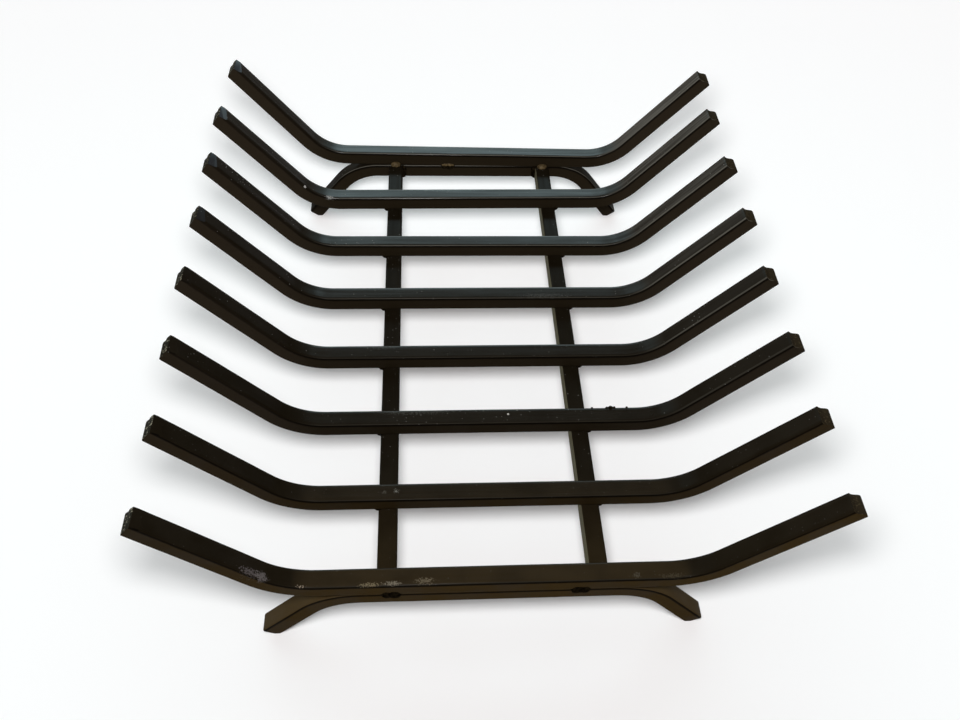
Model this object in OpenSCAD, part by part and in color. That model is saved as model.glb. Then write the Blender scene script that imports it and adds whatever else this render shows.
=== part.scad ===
// Welded log grate: eight bent square bars lie across two rails and two arched legs.
// +X runs along the bars, +Y along the rails towards the rear bar, +Z is up.
// The origin is on the floor, under the middle of the grate. Sizes are in millimetres.

/* [Bar stock] */
// Side of the square bar that every piece is cut from
bar_size = 16; // [12:0.5:22]
// Radius of the rolled edges of the bar
edge_radius = 1.6; // [0.8:0.1:2.5]
// Inside radius of every bend
bend_radius = 48; // [35:1:70]
// How far each face of the bar draws in where the bar is bent
bend_draw = 0.05; // [0.02:0.01:0.3]

/* [Grate bars] */
// Distance between the middles of neighbouring bars
bar_pitch = 75; // [60:1:95]
// Straight length in the middle of a bar
cradle_length = 279; // [240:1:340]
// Angle at which the arms of a bar rise from the level
rise_angle = 52; // [30:1:65]
// Straight length of an arm, from its bend to the furthest point of its tip
arm_length = 116; // [60:1:170]
// How far each bar was set down to the right of the middle, from the rear bar to the front one
bar_slips = [2, -2, -1.5, -1, -1, 0.5, 2, 2.5]; // [-4:0.5:4]
// Angle by which each bar lies turned anticlockwise, seen from above
bar_turns = [-1, 0.5, 0, 0, 0, 0, 0, 0]; // [-1.5:0.5:1.5]

/* [Cropped tips] */
// How far the slanting shear cut runs back across the end of a bar
shear_lean = 3; // [1:0.1:5]
// Depth below the top face at which the slant of a left tip ends
slant_depth = 8.5; // [6:0.5:9]
// How far the lower edge of a left tip is rounded back
heel_back = 1.7; // [0.5:0.1:2.5]
// Length of top face that the shear drew down at a left tip
roll_length = 10; // [5:0.5:16]
// Depth to which that length is drawn down at the front of the bar
roll_depth = 3.2; // [1:0.1:5]
// Angle at which the drawn-down face leans towards the front
roll_tilt = 5; // [0:0.5:12]
// Depth below the top face at which a right tip starts to run out to its lip
lip_start = 5; // [3:0.5:7]
// Depth below the top face of the lip's crest
lip_crest = 11; // [8:0.5:11.5]
// How far the lip falls back from its crest to the lower face
lip_back = 1.6; // [0.5:0.1:2.5]

/* [Rails] */
// Distance of the left rail from the middle of the grate
left_rail_offset = 83; // [60:1:92]
// Distance of the right rail from the middle of the grate
right_rail_offset = 90; // [60:1:92]

/* [Legs] */
// Height of the underside of the bars above the floor
leg_height = 78; // [70:1:110]
// Straight length in the middle of a leg
leg_flat = 207; // [200:1:230]
// Angle at which the feet spread down from the level
foot_angle = 52; // [42:1:62]
// Height of the corner that is ground off to make a sole
sole_trim = 3; // [2:0.5:5]

/* [Welds] */
// Size of a fillet bead, measured along each face that it joins
weld_size = 5; // [3.5:0.5:6]
// Length of a fillet bead
fillet_length = 14; // [12:0.5:16]
// Length of the bead between a rail end and the bar above the leg
rail_end_length = 11.5; // [10:0.5:12.5]
// Height by which a seam bead stands out from the flush faces
seam_rise = 1.5; // [0.8:0.1:2]
// Width of a seam bead across its seam
seam_width = 8; // [6:0.5:10]
// Length of a seam bead along its seam
seam_length = 16; // [10:1:24]
// Place of the left seam bead on the front leg, from the middle
front_seam_left = 79; // [60:1:92]
// Place of the right seam bead on the front leg, from the middle
front_seam_right = 73; // [60:1:92]
// Place of the seam bead on the rear leg, left of the middle
rear_seam_left = 22; // [0:1:60]

/* [Hidden] */

steel_black = [0.15, 0.15, 0.14];
weld_brown = [0.24, 0.21, 0.17];

bar_count = 8;
half_bar = bar_size / 2;
bend_centre = bend_radius + half_bar;
bar_level = leg_height + half_bar;
rail_level = leg_height - half_bar;
first_bar_y = (bar_count - 1) * bar_pitch / 2;
inner_face_y = first_bar_y - half_bar;
outer_face_y = first_bar_y + half_bar;

// How far a cutter runs past the faces that it cuts
overrun = 5;
// How far a straight run laps over the drawn-in end of a bend
bend_lap = 0.1;
// Facets in each quarter of a rolled edge
edge_steps = 3;
// Facets in a full turn of the bends
bend_facets = 96;
// Facets round a weld bead
bead_facets = 32;
// Distance between the drops of a bead, as a share of a drop's reach
ripple_share = 0.55;

// Height of the middle of a foot where its bend ends
foot_start_z = rail_level - bend_centre * (1 - cos(foot_angle));
// Straight length of a foot, so that its lowest corner is the one ground off
foot_length = (foot_start_z - half_bar * cos(foot_angle) + sole_trim) / sin(foot_angle);

function bar_y(number) = first_bar_y - (number - 1) * bar_pitch;

// Place along Y of a bar's middle line where it passes over x, which its turn shifts a little
function bar_y_over(number, x) =
    bar_y(number) + (x - bar_slips[number - 1]) * tan(bar_turns[number - 1]);

// Points round one rolled edge, whose quarter starts at the given angle
function edge_arc(centre, start) = [
    for (step = [0:edge_steps])
        let (angle = start + step * 90 / edge_steps)
        centre + edge_radius * [cos(angle), sin(angle)]
];

// Cross-section of the bar stock: a square with rolled edges, drawn in by so much on each side
module bar_section(draw = 0) {
    inset = half_bar - draw - edge_radius;
    polygon(concat(
        edge_arc([inset, inset], 0),
        edge_arc([-inset, inset], 90),
        edge_arc([-inset, -inset], 180),
        edge_arc([inset, -inset], 270)
    ));
}

// Straight bar from the origin along +X
module straight_bar(length) {
    rotate([90, 0, 90])
        linear_extrude(height = length)
            bar_section();
}

// Bend that starts at the origin along +X and turns up towards +Z
module bend_up(angle) {
    translate([0, 0, bend_centre])
        rotate([90, 0, 0])
            rotate([0, 0, -90])
                rotate_extrude(angle = angle, $fn = bend_facets)
                    translate([bend_centre, 0])
                        bar_section(bend_draw);
}

// Moves children from the origin to where a bend of this angle ends, and turns them with it
module past_bend(angle) {
    translate([bend_centre * sin(angle), 0, bend_centre * (1 - cos(angle))])
        rotate([0, -angle, 0])
            children();
}

// One half of a bent bar, from the middle of its flat; children are cut from its straight end
module bent_half(flat, angle, end_length) {
    straight_bar(flat / 2 + bend_lap);
    translate([flat / 2, 0, 0]) {
        bend_up(angle);
        past_bend(angle)
            difference() {
                translate([-bend_lap, 0, 0])
                    straight_bar(bend_lap + end_length);
                translate([end_length, 0, 0])
                    children();
            }
    }
}

// Solid that takes away all that lies outside an end line, which runs from the top face down
module cut_outside(end_line) {
    rotate([90, 0, 0])
        linear_extrude(height = 2 * bar_size, center = true)
            polygon(concat(
                [[end_line[0].x, half_bar + overrun]],
                end_line,
                [
                    [end_line[len(end_line) - 1].x, -half_bar - overrun],
                    [overrun, -half_bar - overrun],
                    [overrun, half_bar + overrun]
                ]
            ));
}

// What the shear takes from a left tip: a slant, a square step and a rounded-back heel
module left_end_cut() {
    step_depth = bar_size - edge_radius - heel_back;
    cut_outside([
        [0, half_bar],
        [-shear_lean, half_bar - slant_depth],
        [-shear_lean, half_bar - step_depth],
        [-shear_lean - heel_back, -half_bar]
    ]);
}

// What the shear drew down at a left tip: a wedge over the top face, deepest at its front edge
module roll_cut() {
    translate([0, -half_bar, half_bar])
        rotate([90 + roll_tilt, 0, 0])
            linear_extrude(height = 4 * bar_size, center = true)
                polygon([
                    [-roll_length, 0],
                    [overrun, -roll_depth * (1 + overrun / roll_length)],
                    [overrun, overrun],
                    [-roll_length, overrun]
                ]);
}

// What the shear takes from a right tip: its upper part, down to a lip that stands out
module right_end_cut() {
    cut_outside([
        [-shear_lean, half_bar],
        [-shear_lean, half_bar - lip_start],
        [0, half_bar - lip_crest],
        [-lip_back, -half_bar]
    ]);
}

// Grate bar: flat in the middle, rising to a cropped tip at either end
module grate_bar(number) {
    color(steel_black)
        translate([bar_slips[number - 1], bar_y(number), bar_level])
            rotate([0, 0, bar_turns[number - 1]])
                union() {
                    bent_half(cradle_length, rise_angle, arm_length)
                        right_end_cut();
                    mirror([1, 0, 0])
                        bent_half(cradle_length, rise_angle, arm_length) {
                            left_end_cut();
                            roll_cut();
                        }
                }
}

// Rail under the bars, between the inner faces of the two legs
module rail(x) {
    color(steel_black)
        translate([x, -inner_face_y, rail_level])
            rotate([0, 0, 90])
                straight_bar(2 * inner_face_y);
}

// Arched leg under an end bar, with its feet ground flat on the floor
module arched_leg(y) {
    floor_width = leg_flat + 2 * (bend_centre + foot_length + bar_size);
    color(steel_black)
        difference() {
            translate([0, y, rail_level])
                mirror([0, 0, 1])
                    union() {
                        bent_half(leg_flat, foot_angle, foot_length);
                        mirror([1, 0, 0])
                            bent_half(leg_flat, foot_angle, foot_length);
                    }
            translate([-floor_width / 2, y - bar_size, -bar_size])
                cube([floor_width, 2 * bar_size, bar_size]);
        }
}

// Row of overlapping drops along X, like the ripples of a weld bead
module bead_row(length, radius, sink = 0) {
    reach = sqrt(radius * radius - sink * sink);
    run = max(0, length - 2 * reach);
    gaps = ceil(run / (reach * ripple_share));
    for (drop = [0:gaps])
        translate([gaps == 0 ? 0 : run * (drop / gaps - 0.5), 0, 0])
            sphere(r = radius, $fn = bead_facets);
}

// Fillet bead along X that fills the corner between the planes y = 0 and z = 0, at +Y and -Z
module fillet_bead(length) {
    intersection() {
        bead_row(length, weld_size);
        translate([-length, 0, -2 * weld_size])
            cube([2 * length, 2 * weld_size, 2 * weld_size]);
    }
}

// Low bead along X that stands out from the plane y = 0 towards -Y
module seam_bead() {
    radius = (seam_width * seam_width / 4 + seam_rise * seam_rise) / (2 * seam_rise);
    sink = radius - seam_rise;
    intersection() {
        translate([0, sink, 0])
            bead_row(seam_length, radius, sink);
        translate([-seam_length, -2 * radius, -radius])
            cube([2 * seam_length, 2 * radius, 2 * radius]);
    }
}

// Fillet under a bar, on the outer side of a rail to the right of the middle
module rail_side_bead(offset) {
    translate([offset + half_bar, 0, leg_height])
        rotate([0, 0, -90])
            fillet_bead(fillet_length);
}

// Two fillets under a bar, one on the outer side of each rail
module bar_welds(number) {
    color(weld_brown) {
        translate([0, bar_y_over(number, right_rail_offset), 0])
            rail_side_bead(right_rail_offset);
        translate([0, bar_y_over(number, -left_rail_offset), 0])
            mirror([1, 0, 0])
                rail_side_bead(left_rail_offset);
    }
}

// Beads at the rear end of a rail to the right of the middle: one on top against the bar,
// whose face is shifted there by its turn, and one on the inner side against the leg
module rail_end_beads(offset, shift) {
    translate([offset, inner_face_y, leg_height]) {
        translate([0, shift, 0])
            rotate([180, 0, 0])
                fillet_bead(rail_end_length);
        translate([-half_bar, 0, -half_bar])
            rotate([0, 90, 90])
                fillet_bead(fillet_length);
    }
}

// Beads at the rear ends of both rails, under an end bar with the given number;
// side is 1 at the rear, and -1 where the beads are mirrored to the front
module rail_end_welds(number, side) {
    color(weld_brown) {
        rail_end_beads(
            right_rail_offset,
            side * bar_y_over(number, right_rail_offset) - first_bar_y
        );
        mirror([1, 0, 0])
            rail_end_beads(
                left_rail_offset,
                side * bar_y_over(number, -left_rail_offset) - first_bar_y
            );
    }
}

module rear_leg_welds() {
    color(weld_brown)
        translate([-rear_seam_left, inner_face_y, leg_height])
            seam_bead();
}

module front_leg_welds() {
    color(weld_brown)
        for (x = [-front_seam_left, front_seam_right])
            translate([x, -outer_face_y, leg_height])
                seam_bead();
}

grate_bar(1);  // bar_1
grate_bar(2);  // bar_2
grate_bar(3);  // bar_3
grate_bar(4);  // bar_4
grate_bar(5);  // bar_5
grate_bar(6);  // bar_6
grate_bar(7);  // bar_7
grate_bar(8);  // bar_8
rail(-left_rail_offset);  // left_rail
rail(right_rail_offset);  // right_rail
arched_leg(first_bar_y);  // rear_leg
arched_leg(-first_bar_y);  // front_leg
bar_welds(2);  // bar_2_welds
bar_welds(3);  // bar_3_welds
bar_welds(4);  // bar_4_welds
bar_welds(5);  // bar_5_welds
bar_welds(6);  // bar_6_welds
bar_welds(7);  // bar_7_welds
rail_end_welds(1, 1);  // rear_rail_welds
mirror([0, 1, 0]) rail_end_welds(bar_count, -1);  // front_rail_welds
rear_leg_welds();
front_leg_welds();
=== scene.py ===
import random
from math import atan2, cos, pi, radians, sin, tan

import bmesh
import bpy
from mathutils import Matrix, Vector


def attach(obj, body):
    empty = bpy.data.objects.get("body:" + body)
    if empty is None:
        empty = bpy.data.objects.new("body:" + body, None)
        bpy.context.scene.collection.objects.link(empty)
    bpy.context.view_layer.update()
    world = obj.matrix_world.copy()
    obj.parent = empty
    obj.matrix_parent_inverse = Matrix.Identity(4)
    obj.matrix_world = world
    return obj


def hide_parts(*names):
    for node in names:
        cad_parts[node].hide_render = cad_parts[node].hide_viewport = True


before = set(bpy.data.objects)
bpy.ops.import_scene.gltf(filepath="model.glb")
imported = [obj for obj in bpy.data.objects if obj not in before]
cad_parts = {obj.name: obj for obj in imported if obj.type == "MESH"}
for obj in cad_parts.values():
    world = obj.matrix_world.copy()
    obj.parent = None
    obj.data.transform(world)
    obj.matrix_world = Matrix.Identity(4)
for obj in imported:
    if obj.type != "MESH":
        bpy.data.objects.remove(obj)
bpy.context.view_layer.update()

print("frame loaded,", len(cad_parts), "CAD nodes")

# sizes that the pieces share, in metres
stock = {
    "side": 0.016,
    "edgeRadius": 0.0016,   # rolled edges of the bar
    "edgeSegments": 3,
    "sideCuts": 7,          # cuts across each flat side
    "bendRadius": 0.048,    # inside of every bend
    "bendSteps": 18,
    "stretch": 0.0065,      # length of one step along a straight run
    "uneven": 0.00016,      # depth of the rolled skin's waviness
    "unevenScale": 0.024,
    "softEdge": 0.0003,     # easing of the sheared edges
}
grate = {
    "pitch": 0.075,
    "count": 8,
    "legHeight": 0.078,
    "leftRail": -0.083,
    "rightRail": 0.090,
    "slips": [0.002, -0.002, -0.0015, -0.001, -0.001, 0.0005, 0.002, 0.0025],
    "turns": [-1, 0.5, 0, 0, 0, 0, 0, 0],   # degrees
}
halfSide = stock["side"] / 2
bendCentre = stock["bendRadius"] + halfSide
barLevel = grate["legHeight"] + halfSide
railLevel = grate["legHeight"] - halfSide
firstBarY = (grate["count"] - 1) * grate["pitch"] / 2
innerFaceY = firstBarY - halfSide


def barY(number, x=None):
    # place of a bar's middle line, or of the point where it passes over x
    y = firstBarY - (number - 1) * grate["pitch"]
    if x is None:
        return y
    return y + (x - grate["slips"][number - 1]) * tan(radians(grate["turns"][number - 1]))


# ways of working that every piece uses

def clearSelection():
    if bpy.context.mode != "OBJECT":
        bpy.ops.object.mode_set(mode="OBJECT")
    bpy.ops.object.select_all(action="DESELECT")


def activate(piece):
    clearSelection()
    piece.select_set(True)
    bpy.context.view_layer.objects.active = piece


def bakePlace(piece):
    # puts the object's place into its mesh, so the object itself sits at the origin
    activate(piece)
    bpy.ops.object.transform_apply(location=True, rotation=True, scale=True)


def editMesh(piece):
    activate(piece)
    bpy.ops.object.mode_set(mode="EDIT")
    bpy.ops.mesh.select_mode(type="VERT")


def leaveEdit():
    bpy.ops.object.mode_set(mode="OBJECT")


def pickNone(mesh):
    for part in (mesh.verts, mesh.edges, mesh.faces):
        for item in part:
            item.select = False


def pickVertices(piece, wanted):
    # selects the vertices whose place passes the test, and what they span
    mesh = bmesh.from_edit_mesh(piece.data)
    pickNone(mesh)
    for vertex in mesh.verts:
        vertex.select = wanted(vertex.co)
    mesh.select_flush(True)
    bmesh.update_edit_mesh(piece.data)


def pickEdges(piece, wanted):
    mesh = bmesh.from_edit_mesh(piece.data)
    pickNone(mesh)
    for edge in mesh.edges:
        if wanted(edge):
            edge.select_set(True)
    bmesh.update_edit_mesh(piece.data)


def pickFaces(piece, wanted):
    # selects the faces whose middle and normal pass the test
    mesh = bmesh.from_edit_mesh(piece.data)
    pickNone(mesh)
    for face in mesh.faces:
        if wanted(face.calc_center_median(), face.normal):
            face.select_set(True)
    bmesh.update_edit_mesh(piece.data)


def pushOut(step, times=1):
    for _ in range(times):
        bpy.ops.mesh.extrude_region_move(TRANSFORM_OT_translate={"value": tuple(step)})


def rimDistance(u, v):
    # how far along the outline a point of the section lies from the nearest rolled edge's middle
    flat = halfSide - stock["edgeRadius"]
    u, v = abs(u), abs(v)
    if u > flat and v > flat:
        return stock["edgeRadius"] * abs(atan2(v - flat, u - flat) - pi / 4)
    return stock["edgeRadius"] * pi / 4 + flat - min(u, v)


def startSection(name, place, facing):
    # one square of bar stock with rolled corners, turned to face along X or Y; each point keeps
    # its distance to the rolled edge, and how far up and to the front of the section it lies
    clearSelection()
    turn = (0, radians(90), 0) if facing == "X" else (radians(-90), 0, 0)
    bpy.ops.mesh.primitive_plane_add(size=stock["side"], location=place, rotation=turn)
    piece = bpy.context.object
    piece.name = name
    bakePlace(piece)
    kept = ("rim", "lift", "toFront")
    for label in kept:
        piece.data.attributes.new(label, "FLOAT", "POINT")
    editMesh(piece)
    bpy.ops.mesh.select_all(action="SELECT")
    bpy.ops.mesh.bevel(
        offset=stock["edgeRadius"], segments=stock["edgeSegments"], affect="VERTICES", profile=0.5
    )
    # the four long sides take cuts, so that the skin can be uneven
    pickEdges(piece, lambda edge: edge.calc_length() > stock["side"] / 2)
    bpy.ops.mesh.subdivide(number_cuts=stock["sideCuts"])
    mesh = bmesh.from_edit_mesh(piece.data)
    rim, lift, toFront = (mesh.verts.layers.float[label] for label in kept)
    for vertex in mesh.verts:
        fromMiddle = vertex.co - Vector(place)
        across = fromMiddle.y if facing == "X" else fromMiddle.x
        vertex[rim] = rimDistance(across, fromMiddle.z)
        vertex[lift] = fromMiddle.z / halfSide
        vertex[toFront] = -fromMiddle.y / halfSide if facing == "X" else 0
    bpy.ops.mesh.select_all(action="SELECT")
    return piece


def sweepHalf(side, level, rise, flat, angle, straight):
    # from the middle: half of the flat, the bend, then the straight end; side is -1 or +1
    start = flat / 2
    steps = max(1, round(start / stock["stretch"]))
    pushOut((side * start / steps, 0, 0), steps)
    bpy.ops.mesh.spin(
        steps=stock["bendSteps"],
        angle=angle,
        center=(side * start, 0, level + rise * bendCentre),
        axis=(0, side * rise, 0),
    )
    steps = max(1, round(straight / stock["stretch"]))
    step = straight / steps
    pushOut((side * step * cos(angle), 0, rise * step * sin(angle)), steps)


def endFrame(side, level, rise, flat, angle, straight):
    # middle of the straight end, the way out along it, and the way up out of its top face
    end = Vector((
        side * (flat / 2 + bendCentre * sin(angle) + straight * cos(angle)),
        0,
        level + rise * (bendCentre * (1 - cos(angle)) + straight * sin(angle)),
    ))
    out = Vector((side * cos(angle), 0, rise * sin(angle)))
    up = Vector((-side * rise * sin(angle), 0, cos(angle)))
    return end, out, up


def closeHalves():
    # merges the two halves of a swept piece where they start from the same square
    bpy.ops.mesh.select_all(action="SELECT")
    bpy.ops.mesh.remove_doubles(threshold=1e-6)
    bpy.ops.mesh.normals_make_consistent(inside=False)
    leaveEdit()


def copyPiece(pattern, name, place, turn=0):
    # a copy with a mesh of its own, turned about Z and moved within that mesh
    clearSelection()
    piece = pattern.copy()
    piece.data = pattern.data.copy()
    piece.name = name
    piece.data.name = name
    bpy.context.scene.collection.objects.link(piece)
    piece.rotation_euler = (0, 0, turn)
    piece.location = place
    bakePlace(piece)
    return piece


def applyModifier(piece, kind, name, **settings):
    step = piece.modifiers.new(name, kind)
    for setting, value in settings.items():
        setattr(step, setting, value)
    activate(piece)
    bpy.ops.object.modifier_apply(modifier=name)


rolledSkin = bpy.data.textures.new("rolledSkin", "CLOUDS")
rolledSkin.noise_scale = stock["unevenScale"]
rolledSkin.noise_depth = 2


def finishSteel(piece):
    # sheared edges are eased a little, then the rolled skin is made uneven, never outwards
    applyModifier(
        piece, "BEVEL", "easedEdges",
        width=stock["softEdge"], segments=2, limit_method="ANGLE", angle_limit=radians(42),
    )
    applyModifier(
        piece, "DISPLACE", "rolledSkin",
        texture=rolledSkin, texture_coords="LOCAL", direction="NORMAL",
        mid_level=1.0, strength=stock["uneven"],
    )
    bpy.ops.object.shade_smooth_by_angle(angle=radians(40))


def placePiece(piece, node, finish):
    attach(piece, "root")
    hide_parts(node)
    piece.data.materials.clear()
    piece.data.materials.append(finish)


# ways of wiring a material

def feed(tree, socket, value):
    if isinstance(value, bpy.types.NodeSocket):
        tree.links.new(value, socket)
    else:
        socket.default_value = value


def addMath(tree, operation, *values):
    node = tree.nodes.new("ShaderNodeMath")
    node.operation = operation
    for socket, value in zip(node.inputs, values):
        feed(tree, socket, value)
    return node.outputs[0]


def multiply(tree, value, *others):
    for other in others:
        value = addMath(tree, "MULTIPLY", value, other)
    return value


def invert(tree, share):
    return addMath(tree, "SUBTRACT", 1.0, share)


def addFade(tree, value, low, high, atLow=0.0, atHigh=1.0):
    # goes smoothly from one number to the other as the value passes from low to high
    node = tree.nodes.new("ShaderNodeMapRange")
    node.interpolation_type = "SMOOTHSTEP"
    for socket, given in zip(node.inputs, (value, low, high, atLow, atHigh)):
        feed(tree, socket, given)
    return node.outputs[0]


def addVector(tree, operation, *values):
    node = tree.nodes.new("ShaderNodeVectorMath")
    node.operation = operation
    for socket, value in zip(node.inputs, values):
        feed(tree, socket, value)
    return node.outputs["Value" if operation in ("LENGTH", "DISTANCE") else "Vector"]


def addNoise(tree, vector, scale, detail=2.0, roughness=0.5):
    node = tree.nodes.new("ShaderNodeTexNoise")
    feed(tree, node.inputs["Vector"], vector)
    feed(tree, node.inputs["Scale"], scale)
    feed(tree, node.inputs["Detail"], detail)
    feed(tree, node.inputs["Roughness"], roughness)
    return node.outputs[0]


def mixColour(tree, amount, first, second):
    node = tree.nodes.new("ShaderNodeMix")
    node.data_type = "RGBA"
    feed(tree, node.inputs["Factor"], amount)
    feed(tree, node.inputs[6], (*first, 1) if isinstance(first, tuple) else first)
    feed(tree, node.inputs[7], (*second, 1) if isinstance(second, tuple) else second)
    return node.outputs[2]


def splitVector(tree, vector):
    node = tree.nodes.new("ShaderNodeSeparateXYZ")
    feed(tree, node.inputs[0], vector)
    return node.outputs["X"], node.outputs["Y"], node.outputs["Z"]


def newGroup(name, inputs, outputs):
    group = bpy.data.node_groups.new(name, "ShaderNodeTree")
    for label, value in inputs.items():
        kind = "NodeSocketVector" if isinstance(value, tuple) else "NodeSocketFloat"
        group.interface.new_socket(name=label, in_out="INPUT", socket_type=kind).default_value = value
    for label in outputs:
        group.interface.new_socket(name=label, in_out="OUTPUT", socket_type="NodeSocketFloat")
    return group, group.nodes.new("NodeGroupInput").outputs, group.nodes.new("NodeGroupOutput").inputs


def useGroup(tree, group, **values):
    # an input's name is given as one word, such as patchScale for Patch Scale
    node = tree.nodes.new("ShaderNodeGroup")
    node.node_tree = group
    for socket in node.inputs:
        word = socket.name.replace(" ", "")
        word = word[0].lower() + word[1:]
        if word in values:
            feed(tree, socket, values[word])
    return node.outputs


def makePaintSkin():
    # broad patches, streaks along the steel and fine grain of a sprayed black coat
    group, given, result = newGroup(
        "paintSkin",
        {"Place": (0, 0, 0), "Stretch": (1, 1, 1), "Patch Scale": 30.0, "Grain Scale": 900.0},
        ("Patch", "Streak", "Grain"),
    )
    patch = addNoise(group, given["Place"], given["Patch Scale"], 3.0)
    feed(group, result["Patch"], addFade(group, patch, 0.34, 0.66))
    along = addVector(group, "MULTIPLY", given["Place"], given["Stretch"])
    streak = addNoise(group, along, 1.0, 4.0, 0.6)
    feed(group, result["Streak"], addFade(group, streak, 0.32, 0.68))
    feed(group, result["Grain"], addNoise(group, given["Place"], given["Grain Scale"], 2.0))
    return group


def makeRimHighlightShade():
    # 1 on a rolled edge, fading over the width, and broken up along it; it masks the painted highlight and
    # painted shade on the edges
    group, given, result = newGroup(
        "wornEdge",
        {"Place": (0, 0, 0), "Rim": 0.0, "Width": 0.0012, "Breakup": 0.5, "Break Scale": 160.0},
        ("Mask",),
    )
    broken = addNoise(group, given["Place"], given["Break Scale"], 3.0)
    swing = multiply(group, addMath(group, "SUBTRACT", broken, 0.5), given["Breakup"])
    share = addMath(group, "DIVIDE", given["Rim"], given["Width"])
    feed(group, result["Mask"], addFade(group, addMath(group, "ADD", share, swing), 0.35, 1.0, 1.0, 0.0))
    return group


def makeDustSpecks():
    # sparse specks of ash and dust of uneven size
    group, given, result = newGroup(
        "dustSpecks",
        {"Place": (0, 0, 0), "Scale": 620.0, "Share": 0.07, "Size": 0.3},
        ("Mask",),
    )
    cells = group.nodes.new("ShaderNodeTexVoronoi")
    feed(group, cells.inputs["Vector"], given["Place"])
    feed(group, cells.inputs["Scale"], given["Scale"])
    lot, size, _ = splitVector(group, cells.outputs["Color"])
    present = addMath(group, "LESS_THAN", lot, given["Share"])
    reach = multiply(group, given["Size"], addMath(group, "ADD", size, 0.35))
    near = addMath(group, "DIVIDE", cells.outputs["Distance"], reach)
    feed(group, result["Mask"], multiply(group, present, addFade(group, near, 0.6, 1.0, 1.0, 0.0)))
    return group


def makeRubbedPatch():
    # a ragged mark round a centre, as where the paint was knocked or rubbed
    group, given, result = newGroup(
        "rubbedPatch",
        {"Place": (0, 0, 0), "Centre": (0, 0, 0), "Reach": (0.01, 0.01, 0.01), "Grain Scale": 800.0,
         "Cover": 0.5, "Raggedness": 4.0},
        ("Mask",),
    )
    offset = addVector(group, "SUBTRACT", given["Place"], given["Centre"])
    away = addVector(group, "LENGTH", addVector(group, "DIVIDE", offset, given["Reach"]))
    ragged = addNoise(group, given["Place"], given["Grain Scale"], 4.0, 0.65)
    contrast = multiply(group, addMath(group, "SUBTRACT", ragged, 0.5), given["Raggedness"])
    level = addMath(group, "ADD", contrast, given["Cover"])
    edge = addMath(group, "SUBTRACT", level, multiply(group, away, away))
    feed(group, result["Mask"], addFade(group, edge, -0.05, 0.12))
    return group


paintSkin = makePaintSkin()
wornEdge = makeRimHighlightShade()
dustSpecks = makeDustSpecks()
rubbedPatch = makeRubbedPatch()


def newFinish(name, specular, coatRoughness):
    finish = bpy.data.materials.new(name)
    finish.use_nodes = True
    shader = finish.node_tree.nodes["Principled BSDF"]
    shader.inputs["Specular IOR Level"].default_value = specular
    shader.inputs["Coat Roughness"].default_value = coatRoughness
    shader.inputs["Coat IOR"].default_value = 1.5
    return finish, finish.node_tree, shader.inputs


def addPlace(tree):
    return tree.nodes.new("ShaderNodeTexCoord").outputs["Object"]


def addFacing(tree):
    return splitVector(tree, tree.nodes.new("ShaderNodeNewGeometry").outputs["Normal"])


def readAttribute(tree, name):
    node = tree.nodes.new("ShaderNodeAttribute")
    node.attribute_name = name
    return node.outputs["Fac"]


def addBump(tree, height, strength, distance):
    node = tree.nodes.new("ShaderNodeBump")
    node.inputs["Strength"].default_value = strength
    node.inputs["Distance"].default_value = distance
    feed(tree, node.inputs["Height"], height)
    return node.outputs[0]


paint = {
    "black": (0.0074, 0.0052, 0.0026),
    "blackPatch": (0.0098, 0.0074, 0.0044),
    "side": (0.0142, 0.0100, 0.0054),          # painted warm reflection on the sides
    "bareBrown": (0.0420, 0.0255, 0.0078),     # painted light from the front: brownest on what lies nearest to the front
    # the arms' sides are painted lighter, as more light falls on them
    "armSide": (0.0205, 0.0148, 0.0092),
    "footBrown": (0.064, 0.042, 0.019),        # painted warm reflection on top of the front feet
    # painted highlight on the rolled near top edges, and how strongly it shows
    "edgeTone": (0.125, 0.117, 0.098),
    "edgeShow": 0.7,
    "thinWear": 0.0018,                        # width of the painted highlight line on the level
    "wideWear": 0.0034,                        # and on the right arms, where it also sets the painted shade below
    "seamShade": (0.0016, 0.0010, 0.0005),     # painted shade just below a near top edge
    "seamShow": 0.9,
    "seamShowLeft": 0.6,                       # on the left arms, but not at the front
    "armFrom": 0.14,                           # distance from the middle where the arms start
    # painted reflection on the right arms, and how strongly it shows at the rear
    "dust": (0.16, 0.148, 0.128),
    "armDust": 0.34,
    "speck": (0.34, 0.33, 0.31),
    "speckShow": 0.5,
    # painted light on the outer left face of what stands right of the middle
    "ash": (0.150, 0.136, 0.088),
    "specular": 0.01,
    "coatRoughness": 0.2,
    "coatArm": 0.36,                           # gloss left on the arms, as a share of that on the level
    "roughLow": 0.55,
    "roughHigh": 0.8,
    "brownFrom": -0.15,                        # the brown starts here along Y
    "brownTo": -0.25,                          # and is full here
    "grainBump": 0.0003,
}


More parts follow.
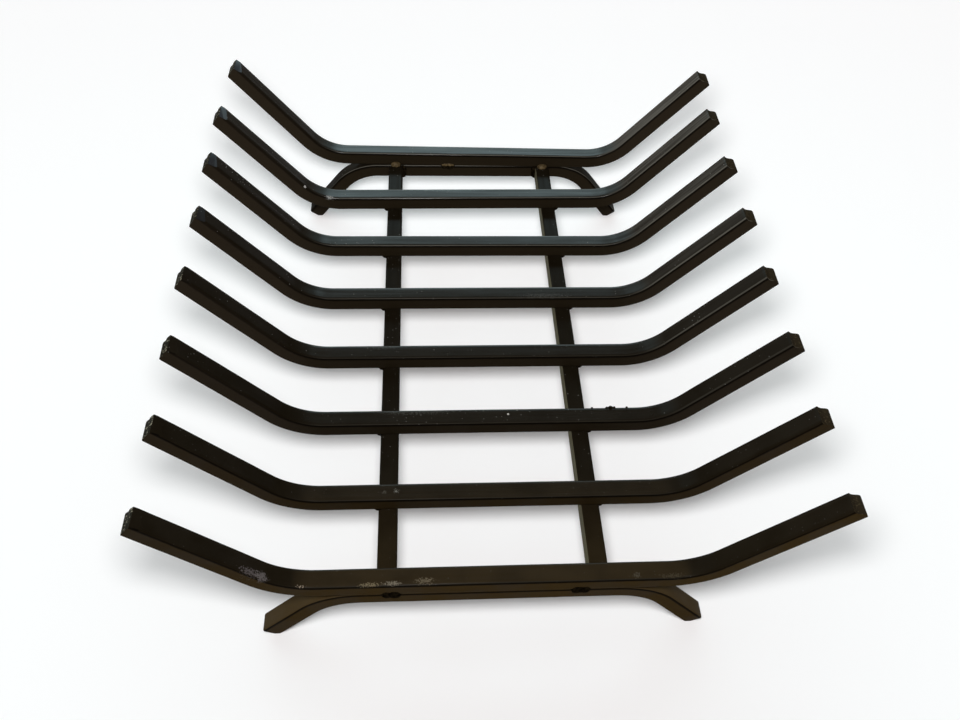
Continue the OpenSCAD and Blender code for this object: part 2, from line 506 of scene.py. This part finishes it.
def paintedSteel(name, stretch, brownShare, brownSlant, gloss):
    # satin black paint: glossy where it faces up, dull on the sides, with painted highlight and painted shade
    # on the rolled edges
    finish, tree, shader = newFinish(name, paint["specular"], paint["coatRoughness"])
    place = addPlace(tree)
    alongX, alongY, _ = splitVector(tree, place)
    facingX, facingY, facingZ = addFacing(tree)
    rim, lift, toFront = (readAttribute(tree, name) for name in ("rim", "lift", "toFront"))
    fromMiddle = addMath(tree, "ABSOLUTE", alongX)
    lying = addFade(tree, facingZ, 0.15, 0.55)
    upright = invert(tree, lying)
    level = addFade(tree, facingZ, 0.90, 0.995)
    skin = useGroup(tree, paintSkin, place=place, stretch=stretch)
    colour = mixColour(tree, skin["Patch"], paint["black"], paint["blackPatch"])
    # painted warm reflection makes the sides browner, and painted light from the front makes them more so the
    # nearer they are to the front
    onArm = addFade(tree, fromMiddle, paint["armFrom"], paint["armFrom"] + 0.05)
    side = mixColour(tree, onArm, paint["side"], paint["armSide"])
    colour = mixColour(tree, multiply(tree, upright, 0.9), colour, side)
    onTop = addMath(tree, "MAXIMUM", multiply(tree, level, 0.4), brownSlant)
    brown = multiply(
        tree,
        addFade(tree, alongY, paint["brownTo"], paint["brownFrom"], 1.0, 0.0),
        addMath(tree, "MAXIMUM", upright, onTop),
        addFade(tree, alongX, -0.25, -0.15, 0.35, 1.0),
        brownShare,
        addMath(tree, "MULTIPLY_ADD", skin["Patch"], 0.3, 0.7),
    )
    colour = mixColour(tree, brown, colour, paint["bareBrown"])
    # painted highlight along the rolled corner of the near top edges, on the level and on the right arms,
    # strongest towards the rear
    nearSide = addFade(tree, toFront, 0.78, 0.88)
    thin = useGroup(tree, wornEdge, place=place, rim=rim, width=paint["thinWear"], breakup=0.4)["Mask"]
    wide = useGroup(tree, wornEdge, place=place, rim=rim, width=paint["wideWear"], breakup=0.3)["Mask"]
    onFlat = multiply(
        tree,
        addFade(tree, fromMiddle, 0.175, 0.13, 0.0, 1.0),
        addFade(tree, alongY, -0.05, 0.16, 0.12, 1.0),
        multiply(tree, thin, nearSide),
    )
    onRight = multiply(
        tree,
        addFade(tree, alongX, 0.15, 0.19),
        addFade(tree, toFront, 0.70, 0.80),
        addFade(tree, alongY, -0.20, 0.06, 0.0, 0.9),
        wide,
    )
    paintedHighlight = multiply(tree, addMath(tree, "ADD", onFlat, onRight), addFade(tree, lift, 0.92, 0.96))
    colour = mixColour(tree, multiply(tree, paintedHighlight, paint["edgeShow"]), colour, paint["edgeTone"])
    # and painted shade just below it
    fainter = addFade(tree, alongY, -0.17, -0.10, paint["seamShow"], paint["seamShowLeft"])
    below = multiply(
        tree, wide, nearSide,
        addFade(tree, lift, 0.95, 0.90),
        addFade(tree, lift, 0.5, 0.7),
        addFade(tree, alongX, -0.20, -0.14, fainter, paint["seamShow"]),
    )
    colour = mixColour(tree, below, colour, paint["seamShade"])
    # painted reflection on the right arms, most at the rear, in streaks along the steel
    dusty = multiply(
        tree,
        addFade(tree, alongX, 0.14, 0.20),
        addFade(tree, alongY, -0.05, 0.3, 0.0, paint["armDust"]),
        multiply(tree, lying, skin["Streak"]),
    )
    colour = mixColour(tree, dusty, colour, paint["dust"])
    # specks of dust lie on what faces up, fewest at the front
    specks = multiply(
        tree,
        useGroup(tree, dustSpecks, place=place)["Mask"],
        multiply(tree, lying, skin["Patch"]),
        addFade(tree, alongY, -0.22, -0.05, 0.15, 1.0),
    )
    colour = mixColour(tree, multiply(tree, specks, paint["speckShow"]), colour, paint["speck"])
    # gloss stayed best on what lies level, and is duller on the slanting arms
    slanting = multiply(
        tree,
        addFade(tree, alongY, -0.15, 0.12, 0.4, 1.0),
        paint["coatArm"],
        addFade(tree, facingZ, 0.3, 0.55),
    )
    dullEdge = addFade(tree, alongY, 0.09, 0.18, 0.08, 0.7)
    coat = multiply(
        tree,
        addMath(tree, "ADD", slanting, multiply(tree, level, 1 - paint["coatArm"])),
        addMath(tree, "MULTIPLY_ADD", skin["Streak"], 0.5, 0.55),
        addFade(tree, facingY, -0.30, -0.06, dullEdge, 1.0),
        gloss,
        invert(tree, specks),
    )
    rough = addFade(tree, skin["Patch"], 0.0, 1.0, paint["roughLow"], paint["roughHigh"])
    bump = addMath(tree, "MULTIPLY_ADD", skin["Streak"], 0.4, skin["Grain"])
    feed(tree, shader["Roughness"], rough)
    feed(tree, shader["Normal"], addBump(tree, bump, 0.12, paint["grainBump"]))
    return finish, tree, shader, place, colour, coat, (facingX, alongX, lift, toFront)


# knocks and rubbed spots on the bars: centre and reach in metres, cover, tone, how strongly it shows
marks = {
    "scuffOnArm": ((-0.1815, -0.2675, 0.1200), (0.0150, 0.0042, 0.0175), 0.30, (0.090, 0.076, 0.075), 0.8),
    "scuffAtBend": ((-0.1750, -0.2672, 0.1120), (0.0070, 0.0046, 0.0090), 0.45, (0.110, 0.095, 0.092), 0.8),
    "chipsAtBend": ((-0.1470, -0.2690, 0.0955), (0.0085, 0.0022, 0.0020), 0.12, (0.24, 0.19, 0.14), 0.9),
    "chipsByRail": ((-0.0950, -0.2687, 0.0940), (0.0125, 0.0032, 0.0030), 0.18, (0.15, 0.118, 0.07), 0.85),
    "chipsPastRail": ((-0.0770, -0.2680, 0.0940), (0.0100, 0.0030, 0.0030), 0.26, (0.16, 0.135, 0.10), 0.8),
    "chipsOnFlat": ((-0.0520, -0.2665, 0.0940), (0.0130, 0.0052, 0.0030), 0.10, (0.12, 0.095, 0.062), 0.8),
    "smearRight": ((0.1160, -0.2665, 0.0940), (0.0045, 0.0036, 0.0030), 0.30, (0.060, 0.050, 0.036), 0.7),
    "smearByBend": ((0.1440, -0.2680, 0.0943), (0.0150, 0.0034, 0.0030), 0.25, (0.048, 0.038, 0.024), 0.7),
    "scratchBySeven": ((-0.0755, -0.1865, 0.0940), (0.0038, 0.0030, 0.0030), 0.20, (0.13, 0.125, 0.11), 0.85),
    "smearOnSeven": ((-0.0855, -0.1875, 0.0940), (0.0040, 0.0022, 0.0030), 0.20, (0.06, 0.055, 0.045), 0.7),
    "speckOnSix": ((0.0237, -0.1105, 0.0940), (0.0011, 0.0011, 0.0020), 0.9, (0.45, 0.42, 0.38), 0.9),
    "speckOnTwo": ((-0.1781, 0.1785, 0.1110), (0.0016, 0.0016, 0.0020), 0.8, (0.42, 0.40, 0.38), 0.9),
    "specksByBend": ((-0.1534, 0.1795, 0.0955), (0.0070, 0.0028, 0.0040), 0.42, (0.30, 0.30, 0.29), 0.8),
    "specksOnFive": ((-0.2489, -0.0405, 0.2028), (0.0020, 0.0030, 0.0030), 0.6, (0.0015, 0.001, 0.0008), 0.9),
    "ashOnSix": ((-0.0600, -0.1060, 0.0940), (0.0500, 0.0060, 0.0030), 0.20, (0.08, 0.078, 0.07), 0.35),
    "ashOnFive": ((-0.0900, -0.0310, 0.0940), (0.0200, 0.0050, 0.0030), 0.24, (0.08, 0.078, 0.07), 0.35),
    "ashOnFour": ((0.0700, 0.0330, 0.0940), (0.0400, 0.0050, 0.0030), 0.20, (0.08, 0.08, 0.075), 0.35),
}
sheared = {
    "left": (0.020, 0.018, 0.013),
    "leftLight": (0.270, 0.245, 0.180),
    "right": (0.0240, 0.0175, 0.0100),
    "rightLight": (0.055, 0.041, 0.023),
    # painted bluish reflection on what the shear drew down
    "rolled": (0.022, 0.024, 0.028),
    "tear": (420, 700, 420),                   # how fine the tearing is along X, Y and Z
    # how strongly the painted highlight on a right end's near edge shows
    "cornerShow": 0.7,
}


def makeBarSteel():
    finish, tree, shader, place, colour, coat, (_, alongX, lift, toFront) = paintedSteel(
        "barSteel", (9, 420, 9), brownShare=1.0, brownSlant=0.04, gloss=1.0
    )
    _, alongY, _ = splitVector(tree, place)
    for centre, reach, cover, tone, strength in marks.values():
        mark = useGroup(tree, rubbedPatch, place=place, centre=centre, reach=reach, cover=cover)["Mask"]
        mark = multiply(tree, mark, strength)
        colour = mixColour(tree, mark, colour, tone)
        coat = multiply(tree, coat, invert(tree, mark))
    # the sheared ends were torn more than cut, and took less paint
    torn = addNoise(tree, addVector(tree, "MULTIPLY", place, sheared["tear"]), 1.0, 3.0)
    torn = addFade(tree, torn, 0.54, 0.68)
    left = mixColour(tree, torn, sheared["left"], sheared["leftLight"])
    right = mixColour(tree, torn, sheared["right"], sheared["rightLight"])
    # painted highlight on the upper half of the near edge of a right end, least at the front
    corner = multiply(
        tree,
        addFade(tree, toFront, 0.86, 0.96),
        addFade(tree, lift, -0.1, 0.3),
        addFade(tree, alongY, -0.20, -0.02, 0.0, sheared["cornerShow"]),
    )
    right = mixColour(tree, corner, right, paint["edgeTone"])
    cropped = readAttribute(tree, "cropped")
    torn = mixColour(tree, addFade(tree, alongX, 0.1, -0.1), right, left)
    colour = mixColour(tree, cropped, colour, torn)
    coat = multiply(tree, coat, invert(tree, cropped))
    # painted bluish reflection on what the shear drew down, most towards the rear
    rolled = multiply(tree, readAttribute(tree, "rolled"), addFade(tree, alongY, -0.08, 0.2))
    colour = mixColour(tree, rolled, colour, sheared["rolled"])
    coat = addMath(tree, "MAXIMUM", coat, rolled)
    feed(tree, shader["Base Color"], colour)
    feed(tree, shader["Coat Weight"], coat)
    return finish


def makeFrameSteel(name, stretch, brownShare, gloss, dusty=0.0):
    finish, tree, shader, place, colour, coat, (facingX, alongX, lift, _) = paintedSteel(
        name, stretch, brownShare, brownSlant=brownShare, gloss=gloss
    )
    _, alongY, _ = splitVector(tree, place)
    # painted warm reflection makes the tops of the front feet the brownest
    foot = multiply(
        tree,
        addFade(tree, addMath(tree, "ABSOLUTE", alongX), 0.11, 0.15),
        addFade(tree, lift, 0.90, 0.98),
        addFade(tree, alongY, -0.25, -0.20, 0.8, 0.0),
    )
    colour = mixColour(tree, foot, colour, paint["footBrown"])
    # painted light on the outer left face of what stands right of the middle
    left = addFade(tree, facingX, -0.6, -0.95)
    left = multiply(tree, left, addFade(tree, alongX, -0.02, 0.02, 0.0, dusty))
    colour = mixColour(tree, left, colour, paint["ash"])
    feed(tree, shader["Base Color"], colour)
    feed(tree, shader["Coat Weight"], coat)
    return finish


weldLook = {
    "painted": (0.0018, 0.0012, 0.0006),
    "paintedLight": (0.0110, 0.0078, 0.0040),
    "bare": (0.040, 0.027, 0.012),
    "bareLight": (0.095, 0.067, 0.033),
    "bareAbove": 0.0782,        # beads on top of the rails took no paint
    "bareBlend": 0.0006,
    "bareReach": 0.012,         # and only within this distance of the rear leg
    "blotchScale": 420.0,
    "coat": 0.08,
    "coatRoughness": 0.3,
    "roughLow": 0.4,
    "roughHigh": 0.62,
    "grainScale": 1500.0,
    "grainBump": 0.0004,
}


def makeWeldBead():
    finish, tree, shader = newFinish("weldBead", 0.0, weldLook["coatRoughness"])
    place = addPlace(tree)
    _, alongY, height = splitVector(tree, place)
    blotch = addFade(tree, addNoise(tree, place, weldLook["blotchScale"], 3.0), 0.38, 0.62)
    dark = mixColour(tree, blotch, weldLook["painted"], weldLook["paintedLight"])
    bare = mixColour(tree, blotch, weldLook["bare"], weldLook["bareLight"])
    above = addFade(tree, height, weldLook["bareAbove"], weldLook["bareAbove"] + weldLook["bareBlend"])
    nearLeg = innerFaceY - weldLook["bareReach"]
    share = multiply(tree, above, addFade(tree, alongY, nearLeg, nearLeg + 0.004))
    feed(tree, shader["Base Color"], mixColour(tree, share, dark, bare))
    feed(tree, shader["Coat Weight"], multiply(tree, share, weldLook["coat"]))
    rough = addFade(tree, blotch, 0.0, 1.0, weldLook["roughLow"], weldLook["roughHigh"])
    feed(tree, shader["Roughness"], rough)
    grain = addNoise(tree, place, weldLook["grainScale"], 2.0)
    feed(tree, shader["Normal"], addBump(tree, grain, 0.3, weldLook["grainBump"]))
    return finish



barSteel = makeBarSteel()
railSteel = makeFrameSteel("railSteel", (420, 9, 420), brownShare=0.5, gloss=0.2, dusty=0.8)
legSteel = makeFrameSteel("legSteel", (9, 420, 9), brownShare=1.0, gloss=0.2)
weldBead = makeWeldBead()
print("finishes mixed")

# grate bars
bar = {
    "flat": 0.279,
    "angle": radians(52),
    "arm": 0.116,
    # how far the end is set back at each depth below the top face
    "leftEnd": [
        (0, 0.0002), (0.0018, 0.0007), (0.0035, 0.0009), (0.0055, 0.0011), (0.0075, 0.0017),
        (0.0095, 0.0027), (0.0127, 0.0030), (0.0145, 0.0036), (0.016, 0.0047),
    ],
    "rightEnd": [
        (0, 0.0030), (0.0038, 0.0031), (0.0055, 0.0027), (0.0072, 0.0018), (0.0088, 0.0008),
        (0.0102, 0.0002), (0.0115, 0), (0.0132, 0.0004), (0.0147, 0.0010), (0.016, 0.0018),
    ],
    # what the shear drew down on a left end: how far along, how deep, and its lean to the front
    "rollLength": 0.010,
    "rollDepth": 0.0032,
    "rollTilt": radians(5),
    "tipRound": 0.0008,
    "tipReach": 0.0016,         # its edges this close to the end are the ones rounded
    "shearReach": 0.008,        # no sheared face lies further from the end
}


def setBack(line, depth):
    for (depthA, backA), (depthB, backB) in zip(line, line[1:]):
        if depth <= depthB:
            return backA + (backB - backA) * max(0, depth - depthA) / (depthB - depthA)
    return line[-1][1]


def barEnd(side):
    return endFrame(side, barLevel, 1, bar["flat"], bar["angle"], bar["arm"])


def shapeEnd(piece, side, line):
    # the end face is cut across at the corners of its line, then each row is pushed back
    end, out, up = barEnd(side)
    near = 1e-5
    atEnd = lambda place: abs((place - end).dot(out)) < near
    for depth, _ in line[1:-1]:
        pickFaces(piece, lambda middle, normal: atEnd(middle) and normal.dot(out) > 0.99)
        bpy.ops.mesh.bisect(plane_co=end + up * (halfSide - depth), plane_no=up)
    mesh = bmesh.from_edit_mesh(piece.data)
    depths = sorted({round(halfSide - (v.co - end).dot(up), 6) for v in mesh.verts if atEnd(v.co)})
    for depth in depths:
        pickVertices(
            piece,
            lambda place: atEnd(place) and abs(halfSide - (place - end).dot(up) - depth) < near,
        )
        back = setBack(line, depth)
        if back > near:
            bpy.ops.transform.translate(value=-out * back)


def rollPlane():
    # the shear drew the top face of a left tip down, most at the front
    end, out, up = barEnd(-1)
    front = Vector((0, -1, 0))
    tilt = bar["rollTilt"]
    across = -front * cos(tilt) + up * sin(tilt)
    down = -up * cos(tilt) - front * sin(tilt)
    first = end - out * bar["rollLength"] + front * halfSide + up * halfSide
    last = end + front * halfSide + up * halfSide + down * bar["rollDepth"]
    facing = across.cross(last - first).normalized()
    if facing.dot(up) < 0:
        facing.negate()
    return first, facing


def rollTip(piece):
    end, out, _ = barEnd(-1)
    first, facing = rollPlane()
    reach = bar["rollLength"] + stock["stretch"]
    pickVertices(piece, lambda place: (place - end).dot(out) > -reach)
    bpy.ops.mesh.bisect(plane_co=first, plane_no=facing, use_fill=True, clear_outer=True)
    onRoll = lambda vertex: abs((vertex.co - first).dot(facing)) < 2e-5
    fromEnd = lambda vertex: -(vertex.co - end).dot(out)
    # its crease stays crisp, and its edge with the sheared end is rounded over
    creaseFrom = bar["tipReach"] + 0.0004
    pickEdges(
        piece,
        lambda edge: all(onRoll(v) and fromEnd(v) > creaseFrom for v in edge.verts)
        and edge.calc_face_angle(0) > radians(4),
    )
    bpy.ops.mesh.mark_sharp()
    pickEdges(piece, lambda edge: all(onRoll(v) and fromEnd(v) < bar["tipReach"] for v in edge.verts))
    bpy.ops.mesh.bevel(offset=bar["tipRound"], segments=3, affect="EDGES", profile=0.5)


def makeBarPattern():
    piece = startSection("barPattern", (0, 0, barLevel), "X")
    # the far side of the first square is the start of the other half
    sweepHalf(1, barLevel, 1, bar["flat"], bar["angle"], bar["arm"])
    shapeEnd(piece, 1, bar["rightEnd"])
    pickFaces(piece, lambda middle, normal: abs(middle.x) < 1e-5 and abs(normal.x) > 0.99)
    sweepHalf(-1, barLevel, 1, bar["flat"], bar["angle"], bar["arm"])
    shapeEnd(piece, -1, bar["leftEnd"])
    rollTip(piece)
    closeHalves()
    return piece


def markEnds(piece):
    # remembers which faces are sheared or drawn down, for the finish
    cropped = piece.data.attributes.new("cropped", "FLOAT", "FACE")
    rolled = piece.data.attributes.new("rolled", "FLOAT", "FACE")
    _, facing = rollPlane()
    for side in (-1, 1):
        end, out, _ = barEnd(side)
        for face in piece.data.polygons:
            away = (face.center - end).dot(out)
            if face.center.x * side < 0 or away < -bar["rollLength"] - 0.001:
                continue
            cropped.data[face.index].value = away > -bar["shearReach"] and face.normal.dot(out) > 0.62
            # nearer to the end its rounded edge counts too
            alike = 0.90 if away > -bar["shearReach"] / 2 else 0.998
            rolled.data[face.index].value = side < 0 and face.normal.dot(facing) > alike


barPattern = makeBarPattern()
markEnds(barPattern)
for number in range(1, grate["count"] + 1):
    place = (grate["slips"][number - 1], barY(number), 0)
    piece = copyPiece(barPattern, f"grateBar{number}", place, radians(grate["turns"][number - 1]))
    finishSteel(piece)
    placePiece(piece, f"bar_{number}", barSteel)
bpy.data.objects.remove(barPattern)
print("grate bars made")


# rails
def makeRail(name, x):
    piece = startSection(name, (x, -innerFaceY, railLevel), "Y")
    steps = round(2 * innerFaceY / stock["stretch"])
    pushOut((0, 2 * innerFaceY / steps, 0), steps)
    bpy.ops.mesh.select_all(action="SELECT")
    bpy.ops.mesh.normals_make_consistent(inside=False)
    leaveEdit()
    finishSteel(piece)
    return piece


for node, x in (("left_rail", grate["leftRail"]), ("right_rail", grate["rightRail"])):
    placePiece(makeRail("rail_" + node, x), node, railSteel)
print("rails made")

# arched legs
leg = {"flat": 0.207, "angle": radians(52), "soleTrim": 0.003}
footDrop = railLevel - bendCentre * (1 - cos(leg["angle"]))
leg["foot"] = (footDrop - halfSide * cos(leg["angle"]) + leg["soleTrim"]) / sin(leg["angle"])


def makeLegPattern():
    piece = startSection("legPattern", (0, 0, railLevel), "X")
    sweepHalf(1, railLevel, -1, leg["flat"], leg["angle"], leg["foot"])
    pickFaces(piece, lambda middle, normal: abs(middle.x) < 1e-5 and abs(normal.x) > 0.99)
    sweepHalf(-1, railLevel, -1, leg["flat"], leg["angle"], leg["foot"])
    # both soles are ground off level with the floor
    for side in (-1, 1):
        pickVertices(piece, lambda place: place.x * side > 0)
        bpy.ops.mesh.bisect(plane_co=(0, 0, 0), plane_no=(0, 0, -1), use_fill=True, clear_outer=True)
    closeHalves()
    return piece


legPattern = makeLegPattern()
for node, y in (("rear_leg", firstBarY), ("front_leg", -firstBarY)):
    piece = copyPiece(legPattern, "arched_" + node, (0, y, 0))
    finishSteel(piece)
    placePiece(piece, node, legSteel)
bpy.data.objects.remove(legPattern)
print("legs made")

# weld beads
weld = {
    "size": 0.005,          # radius of a fillet bead in its corner
    "fillet": 0.0165,
    "railEnd": 0.0115,
    "seamRise": 0.0015,
    "seamWidth": 0.0095,
    "seamLength": 0.017,
    "seamDrop": 0.0012,     # how far below the seam a bead's middle lies
    "frontSeams": (-0.079, 0.073),
    "rearSeam": -0.022,
    "frontTall": 1.5,
    "dropGap": 0.0021,      # distance between the drops of a bead
    "dropOverlap": 0.92,    # share of the end drops' size that counts in a bead's length
    "dropUneven": 0.08,
    # spatter on the far edge of one bar: place along X, and size
    "strayBar": 6,
    "strayDrops": [(0.1180, 0.0024), (0.1215, 0.0017), (0.1145, 0.0016), (0.1010, 0.0014), (0.1330, 0.0015)],
    "strayInset": 0.0006,
    "straySink": 0.0004,
    "ripple": 0.0005,
    "rippleScale": 0.0018,
    "voxel": 0.0004,
    "seed": 7,
}
chance = random.Random(weld["seed"])
spatter = bpy.data.textures.new("spatter", "CLOUDS")
spatter.noise_scale = weld["rippleScale"]
spatter.noise_depth = 2


def addDrops(middle, along, length, radius, tall=1.0):
    # a row of overlapping drops, each a little different from the last
    along = Vector(along)
    run = max(0, length - 2 * radius * weld["dropOverlap"])
    count = max(3, round(run / weld["dropGap"]) + 1)
    drops = []
    for drop in range(count):
        share = drop / (count - 1) - 0.5
        size = radius * (1 - weld["dropUneven"] * chance.random())
        place = Vector(middle) + along * run * share
        clearSelection()
        bpy.ops.mesh.primitive_uv_sphere_add(
            segments=20, ring_count=12, radius=size, location=place, scale=(1, 1, tall)
        )
        drops.append(bpy.context.object)
    return drops


def seamDrops(x, faceY, tall):
    # the beads on a seam stand out only a little from the flush faces
    radius = (weld["seamWidth"] ** 2 / 4 + weld["seamRise"] ** 2) / (2 * weld["seamRise"])
    middle = (x, faceY + radius - weld["seamRise"], grate["legHeight"] - weld["seamDrop"])
    reach = weld["seamLength"] - weld["seamWidth"] + 2 * radius * weld["dropOverlap"]
    return addDrops(middle, (1, 0, 0), reach, radius, tall)


def joinBead(name, node, drops):
    clearSelection()
    for drop in drops:
        drop.select_set(True)
    bpy.context.view_layer.objects.active = drops[0]
    bpy.ops.object.join()
    piece = bpy.context.object
    piece.name = name
    piece.data.name = name
    bakePlace(piece)
    applyModifier(piece, "REMESH", "fuse", mode="VOXEL", voxel_size=weld["voxel"])
    applyModifier(piece, "SMOOTH", "flow", factor=0.5, iterations=3)
    applyModifier(
        piece, "DISPLACE", "spatter",
        texture=spatter, texture_coords="LOCAL", direction="NORMAL",
        mid_level=1.0, strength=weld["ripple"],
    )
    bpy.ops.object.shade_smooth()
    placePiece(piece, node, weldBead)


def strayDrops(number):
    y = barY(number) + halfSide - weld["strayInset"]
    z = barLevel + halfSide - weld["straySink"]
    drops = []
    for x, size in weld["strayDrops"]:
        drops += addDrops((x, y, z), (1, 0, 0), 0, size)
    return drops


rails = ((grate["leftRail"], -1), (grate["rightRail"], 1))   # each with the way to its outer side

# in the corners under the bars, on the outer side of each rail
for number in range(2, grate["count"]):
    drops = []
    for rail, outward in rails:
        middle = (rail + outward * halfSide, barY(number, rail), grate["legHeight"])
        drops += addDrops(middle, (0, 1, 0), weld["fillet"], weld["size"])
    if number == weld["strayBar"]:
        drops += strayDrops(number)
    joinBead(f"beadsUnderBar{number}", f"bar_{number}_welds", drops)
# on top of each rail end against its bar, and down its inner corner with the leg
for node, number, side in (("rear_rail_welds", 1, 1), ("front_rail_welds", grate["count"], -1)):
    drops = []
    for rail, outward in rails:
        top = (rail, barY(number, rail) - side * halfSide, grate["legHeight"])
        drops += addDrops(top, (1, 0, 0), weld["railEnd"], weld["size"])
        corner = (rail - outward * halfSide, side * innerFaceY, railLevel)
        drops += addDrops(corner, (0, 0, 1), weld["fillet"], weld["size"])
    joinBead("beads_" + node, node, drops)
# along the seams between the end bars and their legs
joinBead("seamBeadRear", "rear_leg_welds", seamDrops(weld["rearSeam"], innerFaceY, 1.0))
frontDrops = []
for x in weld["frontSeams"]:
    frontDrops += seamDrops(x, -firstBarY - halfSide, weld["frontTall"])
joinBead("seamBeadsFront", "front_leg_welds", frontDrops)
print("weld beads made")

# floor, light and camera
studio = {
    "floorSize": 60.0,
    "floorShade": 0.74,
    "palest": 0.95,             # no floor is paler than this
    "floorGlow": 0.13,
    "glowTint": (1.0, 0.86, 0.87),      # evens out the cool light from the window
    # soft lamp close to the view, so that each bar's shadow stays beside it
    "lampPlace": (-0.066, -0.478, 0.762),
    "lampPower": 35.0,
    "lampRadius": 0.080,
    "lampShare": 0.74,          # what the lamp gives of the light on the floor below it
    "airColour": (1.0, 0.94, 0.88),
    "zenith": 0.12,
    "horizon": 0.05,
    # bright window behind the grate, a little to the left of it
    "windowTurn": radians(10),
    "windowPower": 2.6,
    "windowSpread": 0.34,
    "windowGrowth": 0.6,        # it is wider higher up
    "windowTopLow": 0.65,
    "windowTopHigh": 0.72,
    "windowLow": (1.0, 0.94, 0.83),
    "windowHigh": (0.68, 0.94, 1.0),
}


def makeFloor():
    clearSelection()
    bpy.ops.mesh.primitive_plane_add(size=studio["floorSize"], location=(0, 0, 0))
    floor = bpy.context.object
    floor.name = "studioFloor"
    pale = bpy.data.materials.new("paleFloor")
    pale.use_nodes = True
    tree = pale.node_tree
    tree.nodes.clear()
    matt = tree.nodes.new("ShaderNodeBsdfDiffuse")
    # the lamp's light comes in at a slant further out, and the floor is paler there to make up for it
    away = addVector(tree, "DISTANCE", addPlace(tree), studio["lampPlace"])
    slant = addMath(tree, "DIVIDE", studio["lampPlace"][2], away)
    lit = addMath(tree, "MULTIPLY_ADD", slant, studio["lampShare"], 1 - studio["lampShare"])
    wanted = addMath(tree, "DIVIDE", studio["floorShade"], lit)
    shade = addMath(tree, "MINIMUM", wanted, studio["palest"])
    feed(tree, matt.inputs["Color"], shade)
    # furthest out a glow gives what the palest floor can't
    glowing = multiply(tree, addMath(tree, "SUBTRACT", wanted, shade), lit)
    glowing = addMath(tree, "ADD", glowing, studio["floorGlow"])
    path = tree.nodes.new("ShaderNodeLightPath")
    seen = addMath(tree, "MAXIMUM", path.outputs["Is Camera Ray"], path.outputs["Is Glossy Ray"])
    glow = tree.nodes.new("ShaderNodeEmission")
    glow.inputs["Color"].default_value = (*studio["glowTint"], 1)
    feed(tree, glow.inputs["Strength"], multiply(tree, seen, glowing))
    both = tree.nodes.new("ShaderNodeAddShader")
    feed(tree, both.inputs[0], matt.outputs[0])
    feed(tree, both.inputs[1], glow.outputs[0])
    feed(tree, tree.nodes.new("ShaderNodeOutputMaterial").inputs["Surface"], both.outputs[0])
    floor.data.materials.append(pale)


def makeLamp():
    lamp = bpy.data.lights.new("keyLamp", "POINT")
    lamp.energy = studio["lampPower"]
    lamp.shadow_soft_size = studio["lampRadius"]
    lamp.use_nodes = True
    tree = lamp.node_tree
    # even light at every distance, as from a much larger and further lamp
    even = tree.nodes.new("ShaderNodeLightFalloff")
    even.inputs["Strength"].default_value = 1.0
    feed(tree, tree.nodes["Emission"].inputs["Strength"], even.outputs["Constant"])
    holder = bpy.data.objects.new("keyLamp", lamp)
    holder.location = studio["lampPlace"]
    bpy.context.scene.collection.objects.link(holder)


def makeAir():
    # dim room air with one soft window low behind the grate
    world = bpy.data.worlds.new("studioAir")
    bpy.context.scene.world = world
    world.use_nodes = True
    tree = world.node_tree
    turn = tree.nodes.new("ShaderNodeMapping")
    turn.inputs["Rotation"].default_value = (0, 0, -studio["windowTurn"])
    feed(tree, turn.inputs["Vector"], tree.nodes.new("ShaderNodeTexCoord").outputs["Generated"])
    across, away, up = splitVector(tree, turn.outputs[0])
    spread = addMath(tree, "MULTIPLY_ADD", up, studio["windowGrowth"], studio["windowSpread"])
    offset = addMath(tree, "ABSOLUTE", addMath(tree, "DIVIDE", across, spread))
    offset = addMath(tree, "POWER", offset, 2.0)
    window = multiply(
        tree,
        addMath(tree, "EXPONENT", multiply(tree, offset, -0.5)),
        addFade(tree, away, 0.45, 0.72),
        addFade(tree, up, studio["windowTopLow"], studio["windowTopHigh"], 1.0, 0.0),
        studio["windowPower"],
    )
    tint = mixColour(tree, addFade(tree, up, 0.1, 0.5), studio["windowLow"], studio["windowHigh"])
    base = addFade(tree, up, 0.0, 1.0, studio["horizon"], studio["zenith"])
    room = addVector(tree, "SCALE", studio["airColour"])
    feed(tree, room.node.inputs["Scale"], base)
    light = addVector(tree, "SCALE", tint)
    feed(tree, light.node.inputs["Scale"], window)
    background = tree.nodes["Background"]
    feed(tree, background.inputs["Color"], addVector(tree, "ADD", room, light))


makeFloor()
makeLamp()
makeAir()

# the photograph's viewpoint
view = {
    "place": (-0.04884, -0.53226, 0.71660),
    "pitch": radians(52.004),
    "yaw": radians(5.924),
    "roll": radians(4.096),
    "focal": 835.68,         # in pixels of the frame
    "frameWidth": 960,
    "sensor": 36.0,
}


def makeCamera():
    pitch, yaw, roll = view["pitch"], view["yaw"], view["roll"]
    ahead = Vector((sin(yaw) * cos(pitch), cos(yaw) * cos(pitch), -sin(pitch)))
    level = Vector((cos(yaw), -sin(yaw), 0))
    upright = level.cross(ahead)
    right = level * cos(roll) + upright * sin(roll)
    top = upright * cos(roll) - level * sin(roll)
    data = bpy.data.cameras.new("viewCamera")
    data.sensor_width = view["sensor"]
    data.lens = view["focal"] * view["sensor"] / view["frameWidth"]
    camera = bpy.data.objects.new("viewCamera", data)
    camera.matrix_world = Matrix((
        (right.x, top.x, -ahead.x, view["place"][0]),
        (right.y, top.y, -ahead.y, view["place"][1]),
        (right.z, top.z, -ahead.z, view["place"][2]),
        (0, 0, 0, 1),
    ))
    bpy.context.scene.collection.objects.link(camera)
    bpy.context.scene.camera = camera


makeCamera()
bpy.context.scene.view_settings.view_transform = "Standard"
print("studio set")
